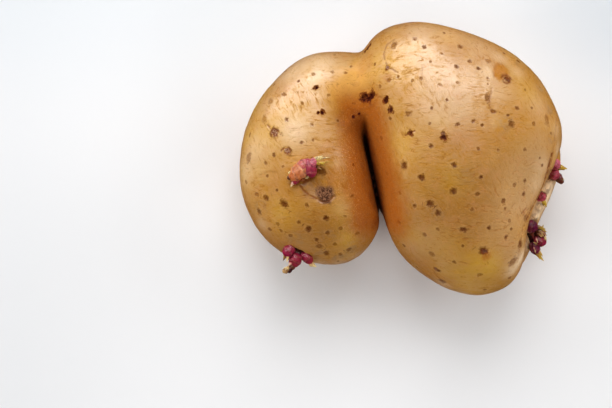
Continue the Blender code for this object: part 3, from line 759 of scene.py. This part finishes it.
skinColours = {
    "gold": tone(187, 128, 42),
    "tan": tone(181, 121, 46),
    "straw": tone(202, 152, 72),
    "rosy": tone(202, 136, 84),
    # a paler tone, for painted light
    "paleAndPaintedLight": tone(214, 160, 68),
    # a cream tone for painted highlight and sheen, and for the pale flecks in scabs
    "paintedSheenAndFlecks": tone(242, 208, 164),
    # a golden tone, partly painted light
    "honeyAndPaintedLight": tone(226, 166, 80),
    "ochre": tone(184, 118, 34),
    # a darker, duller tone, for painted shade
    "dullAndPaintedShade": tone(160, 106, 38),
    "yellow": tone(206, 154, 44),
    # amber of the flanks beside the cleft: partly the skin's colour, partly painted shade between the lobes
    "amberAndPaintedShade": tone(172, 92, 20),
    "sand": tone(214, 150, 82),
    "fawn": tone(191, 143, 85),
    # painted shade deep in the cleft
    "deep": tone(50, 14, 5),
    "grey": tone(132, 104, 80),
    "cork": tone(150, 102, 72),
    "corkDark": tone(74, 42, 26),
    "lenticelRim": tone(216, 170, 112),
    # pale threads on the wrinkles, partly painted glints
    "paleThreadAndPaintedGlint": tone(232, 190, 124),
    "hole": tone(54, 6, 2),
    "rust": tone(106, 36, 12),
    "scab": tone(172, 128, 98),
    # dark of the creases, also used for painted shadow lines
    "creaseAndPaintedShadow": tone(120, 58, 22),
    "net": tone(146, 88, 42),
    "lenticel": (0.36, 0.23, 0.17, 1.0),  # this and the next two are shares of the skin's own colour
    "lenticelDark": (0.34, 0.2, 0.13, 1.0),
    # a share that darkens the skin, for stains and for painted shade
    "umberAndPaintedShade": (0.5, 0.4, 0.32, 1.0),
}

skinClouds = {  # scale, detail, roughness and distortion of each noise
    "turning": (75.0, 1.0),
    "broad": (38.0, 2.0),
    "middling": (130.0, 3.0),
    "patchy": (260.0, 3.0, 0.6),
    "fine": (900.0, 4.0, 0.6),
    "grain": (2400.0, 3.0, 0.6),
    "smudge": (520.0, 3.0),
    "ragged": (1000.0, 3.0, 0.6),
    "mottle": (2000.0, 2.0, 0.7),
    "flakes": (900.0, 3.0, 0.65, 1.5),
    "tears": (850.0, 4.0, 0.75),
    "breaks": (700.0, 2.0),
}

skinGrain = {
    "wrinkle": (620.0, 5.0, 0.62, 1.2),
    "turns": (0.0, 1.1),  # two ways that the wrinkles run, in radians
    "stretch": (0.42, 1.15, 0.8),
    "height": 0.34 * mm,
}


def skinWrinkles(flow, place, turning):
    # fine wrinkles, which run across the skin and change direction from place to place
    folds = []
    for turn in skinGrain["turns"]:
        turned = flow.node("Mapping", None, {"Vector": place, "Rotation": (0.0, 0.0, turn)})
        drawn = flow.node("Mapping", None, {"Vector": turned, "Scale": skinGrain["stretch"]})
        folds.append(cloud(flow, drawn, *skinGrain["wrinkle"]))
    return folds[0] + (folds[1] - folds[0]) * turning.fade(0.45, 0.6)


def bareSkin(flow, held, haze, wrinkle):
    # the skin's colour from part to part, its net of wrinkles and its wide stains, with painted light,
    # shade, highlight and glints laid over them
    tint = skinColours
    colour = mixed(flow, tint["gold"], tint["tan"], haze["broad"].fade(0.4, 0.62))
    colour = mixed(flow, colour, tint["straw"], haze["middling"].fade(0.5, 0.7, 0.6))
    # pale, dull, honey and bloom lay painted light, shade and highlight among the skin's zones of colour
    for zone in ("paleAndPaintedLight", "dullAndPaintedShade", "yellow", "fawn", "honeyAndPaintedLight", "paintedSheenAndFlecks", "ochre"):
        colour = mixed(flow, colour, tint[zone], held[zone])
    colour = mixed(flow, colour, tint["rosy"], haze["patchy"].fade(0.5, 0.7, 0.25))
    colour = mixed(flow, colour, tint["net"], wrinkle.fade(0.45, 0.3, 0.6) * (1.0 - held["paintedSheenAndFlecks"] * 0.6))
    # pale threads on the wrinkle ridges, partly painted glints, more where painted light lies
    colour = mixed(flow, colour, tint["paleThreadAndPaintedGlint"], wrinkle.fade(0.54, 0.72) * (0.1 + held["paleAndPaintedLight"] * 0.3))
    # the amber flanks, partly painted shade between the lobes
    colour = mixed(flow, colour, tint["amberAndPaintedShade"], held["amberAndPaintedShade"])
    colour = mixed(flow, colour, tint["net"], held["amberAndPaintedShade"] * haze["fine"].fade(0.48, 0.34, 0.4))
    # umber stains, and painted shade under the sprouts, along the brow's fold and at the neck and the cleft
    colour = mixed(flow, colour, tint["umberAndPaintedShade"], held["umberAndPaintedShade"] * haze["patchy"].fade(0.3, 0.5), "MULTIPLY")
    colour = mixed(flow, colour, tint["grey"], held["grey"] * haze["smudge"].fade(0.35, 0.6))
    colour = mixed(flow, colour, tint["net"], haze["grain"].fade(0.42, 0.26, 0.4))
    sandy = haze["grain"].fade(0.54, 0.68) * (0.3 + held["sandy"] * 0.6)
    return mixed(flow, colour, tint["sand"], sandy)


def withLenticels(flow, held, haze, colour):
    # some are plain brown, others have a paler core; also returns where they are
    tint, shade = skinColours, held["spotShade"]
    away = attribute(flow, "spotAway", "Vector")
    gap = flow.node("VectorMath", {"operation": "LENGTH"}, {0: away}, out=1)
    gap = gap + (haze["ragged"] - 0.5) * 1.7
    spot = gap.fade(1.3, 0.3) * held["spotNear"]
    core = gap.fade(0.5, 0.15) * shade.fade(0.75, 0.45)
    rim = gap.fade(0.9, 1.2) * gap.fade(1.8, 1.25) * held["spotNear"]
    colour = mixed(flow, colour, tint["lenticelRim"], rim * (0.12 - held["amberAndPaintedShade"] * 0.1))
    stained = spot * (shade * 0.4 + 0.6) * (1.0 - core * 0.5) * (1.0 - held["amberAndPaintedShade"] * 0.6)
    colour = mixed(flow, colour, tint["lenticel"], stained, "MULTIPLY")
    flecks = spot * shade * haze["mottle"].fade(0.62, 0.42) * 0.6
    return mixed(flow, colour, tint["lenticelDark"], flecks, "MULTIPLY"), spot


def withScars(flow, held, haze, torn, colour):
    # corky stains, holes, scabs, creases and the painted shade deep in the cleft
    tint, scab = skinColours, held["pitScab"]
    corky = mixed(flow, tint["cork"], tint["corkDark"], haze["flakes"].fade(0.62, 0.44))
    colour = mixed(flow, colour, corky, held["cork"])
    healed = mixed(flow, tint["scab"], tint["rust"], haze["mottle"].fade(0.54, 0.4) * 0.8)
    # pale flecks in the scabs, partly painted highlight
    healed = mixed(flow, healed, tint["paintedSheenAndFlecks"], haze["mottle"].fade(0.56, 0.68) * 0.7)
    colour = mixed(flow, colour, tint["rust"], torn.fade(1.5, 0.9) * (0.85 - scab * 0.45))
    colour = mixed(flow, colour, healed, torn.fade(1.0, 0.7) * scab)
    colour = mixed(flow, colour, tint["hole"], torn.fade(0.95, 0.55) * (1.0 - scab))
    colour = mixed(flow, colour, tint["creaseAndPaintedShadow"], held["creaseAndPaintedShadow"] * haze["breaks"].fade(0.3, 0.55))
    # painted shade deep in the cleft
    return mixed(flow, colour, tint["deep"], held["deep"])


def skinMaterial():
    made, shader, flow = newMaterial("potato skin", {
        "Metallic": 0.0, "Specular IOR Level": 0.15, "Specular Tint": (1.0, 0.78, 0.55, 1.0),
        "Coat IOR": 1.7, "Coat Roughness": 0.42, "Coat Tint": (1.0, 1.0, 1.0, 1.0),
        "Subsurface Weight": 0.0})
    place = flow.node("TexCoord", out=3)
    held = {name: attribute(flow, name) for name in (
        "spotNear", "spotShade", "pitGap", "pitScab", "creaseAndPaintedShadow", "deep", *patches, *zones)}
    haze = {name: cloud(flow, place, *look) for name, look in skinClouds.items()}
    amberAndPaintedShade, matt, cork, deep = held["amberAndPaintedShade"], held["matt"], held["cork"], held["deep"]
    wrinkle = skinWrinkles(flow, place, haze["turning"])
    torn = held["pitGap"] + (haze["tears"] - 0.5) * 2.4  # a pit's edge, frayed
    colour, spot = withLenticels(flow, held, haze, bareSkin(flow, held, haze, wrinkle))
    feed(shader, flow, "Base Color", withScars(flow, held, haze, torn, colour))

    rough = 0.42 + (haze["fine"] - 0.5) * 0.25 + (haze["middling"] - 0.5) * 0.15
    rough = rough + amberAndPaintedShade * 0.3 + matt * 0.35 + spot * 0.3 + cork * 0.4
    rough = rough + torn.fade(1.4, 0.9, 0.5) + deep * 0.6
    feed(shader, flow, "Roughness", rough)
    waxy = (1.0 - matt) * (1.0 - amberAndPaintedShade * 0.7) * (1.0 - spot * 0.9) * (1.0 - cork) * (1.0 - deep)
    waxy = waxy * (1.0 - held["ochre"] * 0.6) * (1.0 - held["creaseAndPaintedShadow"]) * torn.fade(1.1, 1.7)
    waxy = waxy * wrinkle.fade(0.34, 0.54) * haze["patchy"].fade(0.2, 0.5)
    feed(shader, flow, "Coat Weight", waxy)
    relief = wrinkle + haze["fine"] * 0.2 + cork * haze["flakes"] * 1.5
    feed(shader, flow, "Normal", flow.node("Bump", None, {
        "Strength": 1.0, "Distance": skinGrain["height"], "Height": relief}))
    return made


tuber.data.materials.clear()
tuber.data.materials.append(skinMaterial())
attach(tuber, "root")
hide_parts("tuber")
print("skin painted")


# sprouts

sproutTints = {
    "purple": tone(78, 14, 44),
    "magenta": tone(142, 20, 56),
    "plum": tone(108, 20, 56),
    "crimson": tone(140, 34, 44),
    "pink": tone(206, 104, 122),
    "rose": tone(186, 74, 92),
    "orange": tone(196, 104, 44),
    "peach": tone(222, 142, 96),
    "leaf": tone(200, 164, 54),
    "leafPale": tone(236, 214, 150),
    "leafTan": tone(206, 164, 100),
    "brown": tone(96, 52, 28),
    "maroon": tone(104, 26, 36),
    "dark": tone(44, 10, 14),
}

sprouts = {  # pixel and height in mm of each bud's middle, its length and width in mm, its axis, two tints
    "sprout_crown": {
        "buds": [
            ((299.4, 171.6), 44.8, 8.6, 5.6, (0.74, 0.62, 0.1), "orange", "peach"),
            ((298.6, 175.0), 44.8, 5.4, 3.4, (0.9, 0.1, 0.1), "orange", "brown"),
            ((303.2, 165.8), 45.5, 5.6, 4.3, (0.7, 0.7, 0.2), "peach", "rose"),
            ((310.2, 167.8), 45.7, 6.8, 4.3, (-0.28, 1.0, 0.12), "magenta", "rose"),
            # a small pink bulb at the head's top: partly the bud's pink, partly a painted highlight
            ((312.6, 163.2), 46.7, 3.8, 2.9, (0.2, 0.9, 0.4), "rose", "pink"),
            ((296.2, 180.0), 44.6, 3.5, 2.4, (-0.5, -0.8, 0.3), "magenta", "crimson"),
            ((290.6, 177.2), 44.2, 2.6, 1.9, (-0.8, -0.4, 0.1), "dark", "brown"),
            ((291.8, 173.4), 45.0, 2.6, 1.8, (-0.9, 0.2, 0.3), "orange", "leafPale"),
            ((306.6, 177.2), 44.6, 1.5, 1.1, (0.9, 0.4, 0.1), "leafTan", "leafPale"),
            ((302.0, 179.4), 44.2, 2.4, 1.4, (0.9, 0.1, 0.1), "orange", "brown"),
        ],
        "leaves": [
            ((313.6, 159.0), 47.0, (323.0, 155.6), 47.8, 1.1, "leafPale", "leafPale"),
            ((314.0, 161.0), 46.9, (329.6, 157.6), 47.6, 1.1, "leaf", "leafPale"),
            ((314.2, 163.0), 46.6, (330.0, 161.6), 47.0, 1.2, "leaf", "leaf"),
            ((314.6, 164.6), 46.3, (326.4, 166.0), 46.5, 0.9, "brown", "leaf"),
            ((315.6, 166.4), 45.8, (321.8, 169.4), 45.6, 0.9, "brown", "leafTan"),
            ((294.4, 175.0), 45.0, (289.2, 172.2), 45.8, 1.4, "orange", "leafPale"),
            ((294.6, 181.6), 45.0, (290.6, 187.2), 45.0, 1.3, "pink", "leafPale"),
            ((297.0, 166.6), 45.4, (290.6, 170.2), 45.6, 1.0, "orange", "leafTan"),
        ],
    },
    "sprout_foot": {
        "buds": [
            # a low brown bud deep in the gap between the others, a dark body put as painted shade in that
            # gap
            ((298.0, 252.2), 30.4, 7.6, 3.8, (0.96, -0.25, -0.1), "brown", "maroon"),
            ((288.6, 251.0), 33.2, 4.9, 4.4, (-0.5, -0.7, 0.4), "magenta", "magenta"),
            ((295.0, 259.8), 31.9, 5.4, 5.0, (-0.2, -0.9, 0.1), "magenta", "crimson"),
            ((306.8, 257.8), 31.8, 5.6, 3.6, (0.72, -0.68, 0.1), "magenta", "crimson"),
            ((292.4, 265.8), 32.0, 3.6, 2.7, (-0.5, -0.8, 0.1), "brown", "brown"),
            ((290.0, 269.6), 32.3, 2.6, 1.9, (-0.3, -0.8, 0.1), "dark", "dark"),
            ((286.0, 270.4), 32.3, 2.7, 2.3, (-0.8, -0.5, 0.1), "brown", "leafTan"),
        ],
        "leaves": [
            ((286.4, 253.8), 33.2, (283.0, 260.8), 33.4, 1.5, "leaf", "brown"),
            ((287.6, 254.4), 34.2, (286.6, 262.6), 34.2, 1.1, "leafTan", "leafPale"),
            ((309.4, 262.0), 31.8, (316.6, 267.0), 32.0, 2.1, "leafTan", "leafPale"),
            ((291.4, 262.4), 33.6, (288.4, 266.8), 34.2, 1.1, "rose", "leafPale"),
            ((289.4, 268.4), 33.0, (284.0, 268.0), 33.2, 1.4, "leafTan", "leafPale"),
        ],
    },
    "sprout_brow_upper": {
        "buds": [
            ((551.6, 170.4), 29.0, 8.2, 3.0, (0.15, 1.0, 0.1), "dark", "dark"),
            ((554.8, 164.4), 33.4, 4.2, 4.4, (0.4, 0.8, 0.3), "crimson", "pink"),
            ((554.2, 174.4), 32.0, 4.4, 3.9, (0.1, 0.9, 0.4), "crimson", "rose"),
            ((559.2, 178.6), 30.1, 4.4, 2.9, (0.5, -0.8, 0.1), "maroon", "brown"),
        ],
        "leaves": [
            ((557.4, 166.0), 30.6, (567.4, 169.0), 31.0, 1.9, "leaf", "leaf"),
            ((556.6, 168.0), 30.4, (565.2, 170.0), 30.6, 1.0, "brown", "leaf"),
            ((556.0, 161.0), 31.0, (559.0, 159.9), 31.4, 0.9, "pink", "leafPale"),
            ((561.0, 179.4), 30.6, (564.4, 179.6), 31.0, 1.0, "brown", "leafPale"),
            ((550.4, 171.0), 32.4, (547.6, 180.6), 32.4, 1.2, "maroon", "brown"),
        ],
    },
    "sprout_brow_middle": {
        "buds": [
            ((538.2, 197.2), 31.4, 3.8, 3.0, (0.5, -0.7, 0.4), "crimson", "rose"),
            ((541.3, 196.8), 31.6, 3.6, 3.5, (0.7, -0.5, 0.4), "crimson", "rose"),
        ],
        "leaves": [
            ((542.0, 200.0), 31.9, (546.6, 207.4), 31.9, 1.5, "leaf", "leaf"),
            ((541.4, 201.2), 31.6, (544.4, 207.2), 31.7, 0.8, "brown", "leaf"),
        ],
    },
    "sprout_brow_lower": {
        "buds": [
            ((530.4, 231.4), 28.9, 9.4, 4.1, (0.3, -1.0, -0.1), "dark", "dark"),
            ((530.4, 226.4), 33.6, 5.4, 4.9, (0.9, -0.1, 0.3), "plum", "purple"),
            ((530.8, 229.0), 31.0, 5.4, 3.6, (0.1, 0.2, 1.0), "dark", "maroon"),
            ((539.8, 240.6), 29.9, 5.0, 4.5, (0.8, -0.5, 0.1), "maroon", "magenta"),
            ((534.6, 248.2), 29.6, 5.2, 3.9, (0.4, -0.9, 0.0), "purple", "plum"),
            ((536.4, 240.2), 31.0, 2.6, 1.7, (0.1, 1.0, 0.3), "magenta", "rose"),
            ((540.0, 232.6), 30.4, 4.6, 3.6, (0.7, -0.6, 0.2), "brown", "maroon"),
        ],
        "leaves": [
            ((535.4, 226.6), 32.6, (546.0, 229.4), 32.8, 1.3, "brown", "leaf"),
            ((537.0, 225.4), 32.0, (547.2, 232.4), 32.4, 1.2, "leafTan", "leaf"),
            ((541.0, 229.0), 32.0, (543.6, 224.4), 32.6, 0.9, "leaf", "leafPale"),
            ((538.4, 229.6), 32.4, (544.0, 236.8), 32.6, 1.4, "brown", "leafTan"),
            ((540.4, 231.4), 32.2, (547.0, 236.0), 32.4, 1.1, "maroon", "leafTan"),
            ((543.4, 235.0), 31.0, (546.8, 241.4), 31.4, 1.1, "leafTan", "leafPale"),
            ((536.0, 251.4), 29.8, (544.0, 261.2), 29.8, 1.6, "leaf", "leaf"),
            ((533.6, 250.0), 30.2, (540.0, 259.8), 30.6, 1.2, "brown", "leaf"),
            ((537.0, 250.0), 30.4, (542.6, 257.0), 30.8, 1.1, "leafTan", "leaf"),
            ((533.6, 246.2), 31.3, (535.4, 253.0), 31.5, 0.7, "rose", "leafPale"),
            ((529.0, 230.0), 34.2, (523.0, 234.6), 34.4, 1.4, "brown", "leafTan"),
            ((536.0, 237.4), 31.6, (538.2, 243.0), 32.2, 0.7, "pink", "leafPale"),
            ((531.6, 231.0), 33.4, (533.8, 239.6), 32.6, 1.2, "brown", "maroon"),
            ((542.4, 236.8), 32.0, (536.6, 233.2), 33.0, 1.0, "leafTan", "brown"),
            ((545.0, 239.0), 31.0, (541.4, 247.4), 30.8, 1.0, "maroon", "leafTan"),
            ((530.6, 243.0), 31.6, (531.2, 252.8), 31.2, 1.1, "dark", "maroon"),
            ((537.6, 245.0), 31.2, (532.8, 242.2), 32.0, 0.8, "brown", "leafTan"),
        ],
    },
}

budShape = {
    "around": 40,
    "rings": 30,
    "turns": 2.6,  # of the spiral in which the scales overlap
    "step": 0.13,  # how far a scale's edge stands out, as shares of the bud's radius
    "lumps": 0.16,
    "knobs": 0.05,
    "foot": 1.06,  # girth at the foot, and how much of it is gone at the tip
    "taper": 0.16,
    "groove": 0.6,  # strengths of the painted shade in the grooves, the blush and the paler edges
    "blush": 0.6,
    "edge": 0.16,
}

leafShape = {
    "around": 14,
    "rings": 18,
    "thick": 0.3,
    "cup": 0.35,
    "bend": 0.16,
    "sway": 0.3,
    "widest": 0.3,  # share of the leaf's length at which it is widest
    "brown": 0.35,
}

sproutGrain = {"fine": (1500.0, 3.0, 0.6), "blotch": (620.0, 2.0), "height": 0.3 * mm}


def tinted(bm, verts, tints):
    layer = bm.verts.layers.float_color["tint"]
    for vert, shade in zip(verts, tints):
        vert[layer] = shade


def blended(first, second, share):
    return [a + (b - a) * share for a, b in zip(first, second)]


def roundShape(bm, shape):
    return bmesh.ops.create_uvsphere(bm, u_segments=shape["around"], v_segments=shape["rings"],
                                     radius=0.5)["verts"]


def growBud(bm, at, height, length, width, axis, first, last):
    # a plump bud wrapped in overlapping scales, with painted shade in the grooves and paler at their edges
    made = roundShape(bm, budShape)
    turn = Vector(axis).to_track_quat("Z", "Y").to_matrix().to_4x4()
    middle = underPixel(*at, height * mm)
    seed = Vector((at[0], at[1], height))
    tints = []
    for vert in made:
        share = vert.co.z + 0.5
        bulge = math.sin(math.pi * share)
        angle = math.atan2(vert.co.y, vert.co.x) / math.tau
        spiral = (share * budShape["turns"] + angle) % 1.0
        lift = 1 + budShape["step"] * (spiral - 0.5) * bulge
        lift += budShape["lumps"] * noise.noise(vert.co * 3 + seed)
        lift += budShape["knobs"] * noise.noise(vert.co * 9 + seed)
        girth = lift * (budShape["foot"] - budShape["taper"] * share) * width * mm
        ageing = min(1.0, max(0.0, share + 0.6 * noise.noise(vert.co * 4 - seed)))
        groove, edge = max(0.0, 1 - spiral / 0.2), max(0.0, (spiral - 0.84) / 0.16)
        shade = blended(sproutTints[first], sproutTints[last], ageing)
        # painted shade in the grooves between the scales
        shade = blended(shade, sproutTints["dark"], groove * budShape["groove"] * bulge)
        blush = budShape["blush"] * max(0.0, noise.noise(vert.co * 8 - seed))
        shade = blended(shade, sproutTints["maroon"], blush)
        tints.append(blended(shade, sproutTints["leafPale"], edge * budShape["edge"] * bulge))
        tall = vert.co.z * length * mm * (1 + 0.1 * noise.noise(vert.co * 4 + seed))
        vert.co = (vert.co.x * girth, vert.co.y * girth, tall)
    tinted(bm, made, tints)
    bmesh.ops.transform(bm, matrix=Matrix.Translation(middle) @ turn, verts=made)


def growLeaf(bm, base, baseHeight, tip, tipHeight, width, first, last):
    # a small pointed scale leaf, cupped and bent
    made = roundShape(bm, leafShape)
    start, end = underPixel(*base, baseHeight * mm), underPixel(*tip, tipHeight * mm)
    run = end - start
    turn = run.to_track_quat("Z", "Y").to_matrix().to_4x4()
    sway = leafShape["sway"] * noise.noise(Vector((tip[0] * 3.1, tip[1] * 1.7, 0.5)))
    widest = leafShape["widest"]
    tints = []
    for vert in made:
        share = vert.co.z + 0.5
        aside = Vector((vert.co.x, vert.co.y))
        aside = aside.normalized() if aside.length > 5e-7 else aside * 0
        body = math.sqrt(max(0.0, 1 - (1 - min(1.0, share / widest)) ** 2))
        body *= (1 - max(0.0, share - widest) / (1 - widest)) ** 0.8
        bow = run.length * (share - share * share) * 2
        x = aside.x * body * width / 2 * mm
        y = aside.y * body * width / 2 * mm * leafShape["thick"] - leafShape["cup"] * x * x / (width * mm)
        vert.co = (x + sway * bow, y + leafShape["bend"] * bow, share * run.length)
        shade = blended(sproutTints[first], sproutTints[last], share)
        browned = leafShape["brown"] * max(0.0, noise.noise(Vector((*tip, share * 6))))
        tints.append(blended(shade, sproutTints["brown"], browned))
    tinted(bm, made, tints)
    bmesh.ops.transform(bm, matrix=Matrix.Translation(start) @ turn, verts=made)


def sproutMaterial():
    made, shader, flow = newMaterial("young sprout", {
        "Metallic": 0.0, "Specular IOR Level": 0.4, "Subsurface Weight": 0.1,
        "Subsurface Radius": (1.0, 0.35, 0.25), "Subsurface Scale": 0.0012})
    place = flow.node("TexCoord", out=3)
    tint = attribute(flow, "tint", "Color")
    fine, blotch = [cloud(flow, place, *sproutGrain[name]) for name in ("fine", "blotch")]
    colour = mixed(flow, tint, sproutTints["pink"], blotch.fade(0.58, 0.74, 0.15))
    colour = mixed(flow, colour, sproutTints["maroon"], blotch.fade(0.46, 0.32, 0.6))
    colour = mixed(flow, colour, sproutTints["leafPale"], fine.fade(0.68, 0.78, 0.2))
    feed(shader, flow, "Base Color", colour)
    feed(shader, flow, "Roughness", 0.38 + (fine - 0.5) * 0.4)
    feed(shader, flow, "Normal", flow.node("Bump", None, {
        "Strength": 0.8, "Distance": sproutGrain["height"], "Height": fine + blotch * 1.2}))
    return made


youngSprout = sproutMaterial()
for node, plan in sprouts.items():
    bm = bmesh.new()
    bm.verts.layers.float_color.new("tint")
    for bud in plan["buds"]:
        growBud(bm, *bud)
    for leaf in plan["leaves"]:
        growLeaf(bm, *leaf)
    bmesh.ops.remove_doubles(bm, verts=bm.verts[:], dist=0.001 * mm)
    bmesh.ops.recalc_face_normals(bm, faces=bm.faces[:])
    piece = newObject(bm, node + "_grown")
    piece.data.shade_smooth()
    piece.data.materials.append(youngSprout)
    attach(piece, "root")
    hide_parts(node)
    print("sprout grown:", piece.name, len(piece.data.polygons), "faces")


# floor and light

studio = {
    "floor": 1.7,  # metres across
    "floorTone": tone(246, 246, 247),
    "cloudTone": tone(243, 243, 244),
    "backPaintedShade": tone(235, 238, 241),  # darker past the potato, towards the window: painted shade where the table's light falls off
    "cornerPaintedShade": tone(221, 226, 231),
    "leftShade": (0.885, 0.892, 0.898, 1.0),
    "backFade": (8 * mm, 66 * mm),  # from where to where these painted shades come in
    "cornerFade": ((25 * mm, 85 * mm), (5 * mm, 65 * mm)),
    "leftFade": (75 * mm, 165 * mm),
    "sky": (0.96, 0.98, 1.0, 1.0),
    "skyStrength": 0.02,
    "backdrop": 0.8,
    "away": 0.9,  # metres from the potato to each lamp
    "lamps": {  # bearing from +Y towards +X and height in degrees, size in metres, watts, what it lights
        "window": (-2, 46, 0.6, 4.75, "both"),
        "window side": (-50, 28, 0.55, 2.5, "both"),
        "window glare": (2, 48, 0.6, 5.5, "sheen"),
        "side glare": (-44, 38, 0.55, 4.5, "sheen"),
        "ceiling": (0, 75, 0.45, 1.0, "matt"),
        "near left": (248, 22, 0.5, 3.9, "matt"),
        "near right": (138, 22, 0.6, 3.3, "matt"),
        "right": (66, 22, 0.6, 3.9, "matt"),
    },
}


def addFloor():
    bm = bmesh.new()
    bmesh.ops.create_grid(bm, x_segments=1, y_segments=1, size=studio["floor"] / 2)
    floor = newObject(bm, "floor")
    made, shader, flow = newMaterial("white table", {"Roughness": 0.6, "Specular IOR Level": 0.3})
    place = flow.node("TexCoord", out=3)
    right, back = [flow.node("SeparateXYZ", None, {"Vector": place}, out=axis) for axis in (0, 1)]
    shade = mixed(flow, studio["floorTone"], studio["cloudTone"], cloud(flow, place, 3.0, 1.0))
    # the white table darkens past the potato, in the far right corner and to the left: painted shade where
    # its light falls off towards the edges of the view
    shade = mixed(flow, shade, studio["backPaintedShade"], back.fade(*studio["backFade"]))
    cornerFade = studio["cornerFade"]
    corner = right.fade(*cornerFade[0]) * back.fade(*cornerFade[1])
    shade = mixed(flow, shade, studio["cornerPaintedShade"], corner)
    left = (right * -1.0).fade(*studio["leftFade"])
    feed(shader, flow, "Base Color", mixed(flow, shade, studio["leftShade"], left, "MULTIPLY"))
    floor.data.materials.append(made)
    floor.visible_glossy = False  # a plain floor that doesn't veil the skin's edges


def addLamp(name, bearing, height, size, power, gives):
    lamp = bpy.data.lights.new(name, "AREA")
    lamp.shape = "SQUARE"
    lamp.size = size
    lamp.energy = power
    bearing, height = math.radians(bearing), math.radians(height)
    flat = math.cos(height)
    way = Vector((math.sin(bearing) * flat, math.cos(bearing) * flat, math.sin(height)))
    holder = bpy.data.objects.new(name, lamp)
    holder.location = way * studio["away"]
    holder.visible_glossy = gives != "matt"  # only the window shows in the sheen
    holder.visible_diffuse = gives != "sheen"
    holder.rotation_euler = (-way).to_track_quat("-Z", "Y").to_euler()
    bpy.context.scene.collection.objects.link(holder)


def addSky():
    # pale where the camera sees past the floor, and dim as a light
    world = bpy.data.worlds.new("studio")
    world.use_nodes = True
    light = world.node_tree.nodes["Background"]
    light.inputs["Color"].default_value = studio["sky"]
    seen = Wire(world.node_tree).node("LightPath") * studio["backdrop"] + studio["skyStrength"]
    world.node_tree.links.new(seen.socket, light.inputs["Strength"])
    bpy.context.scene.world = world


addFloor()
for name, plan in studio["lamps"].items():
    addLamp(name, *plan)
addSky()
bpy.context.scene.view_settings.view_transform = "Standard"
print("studio lit")
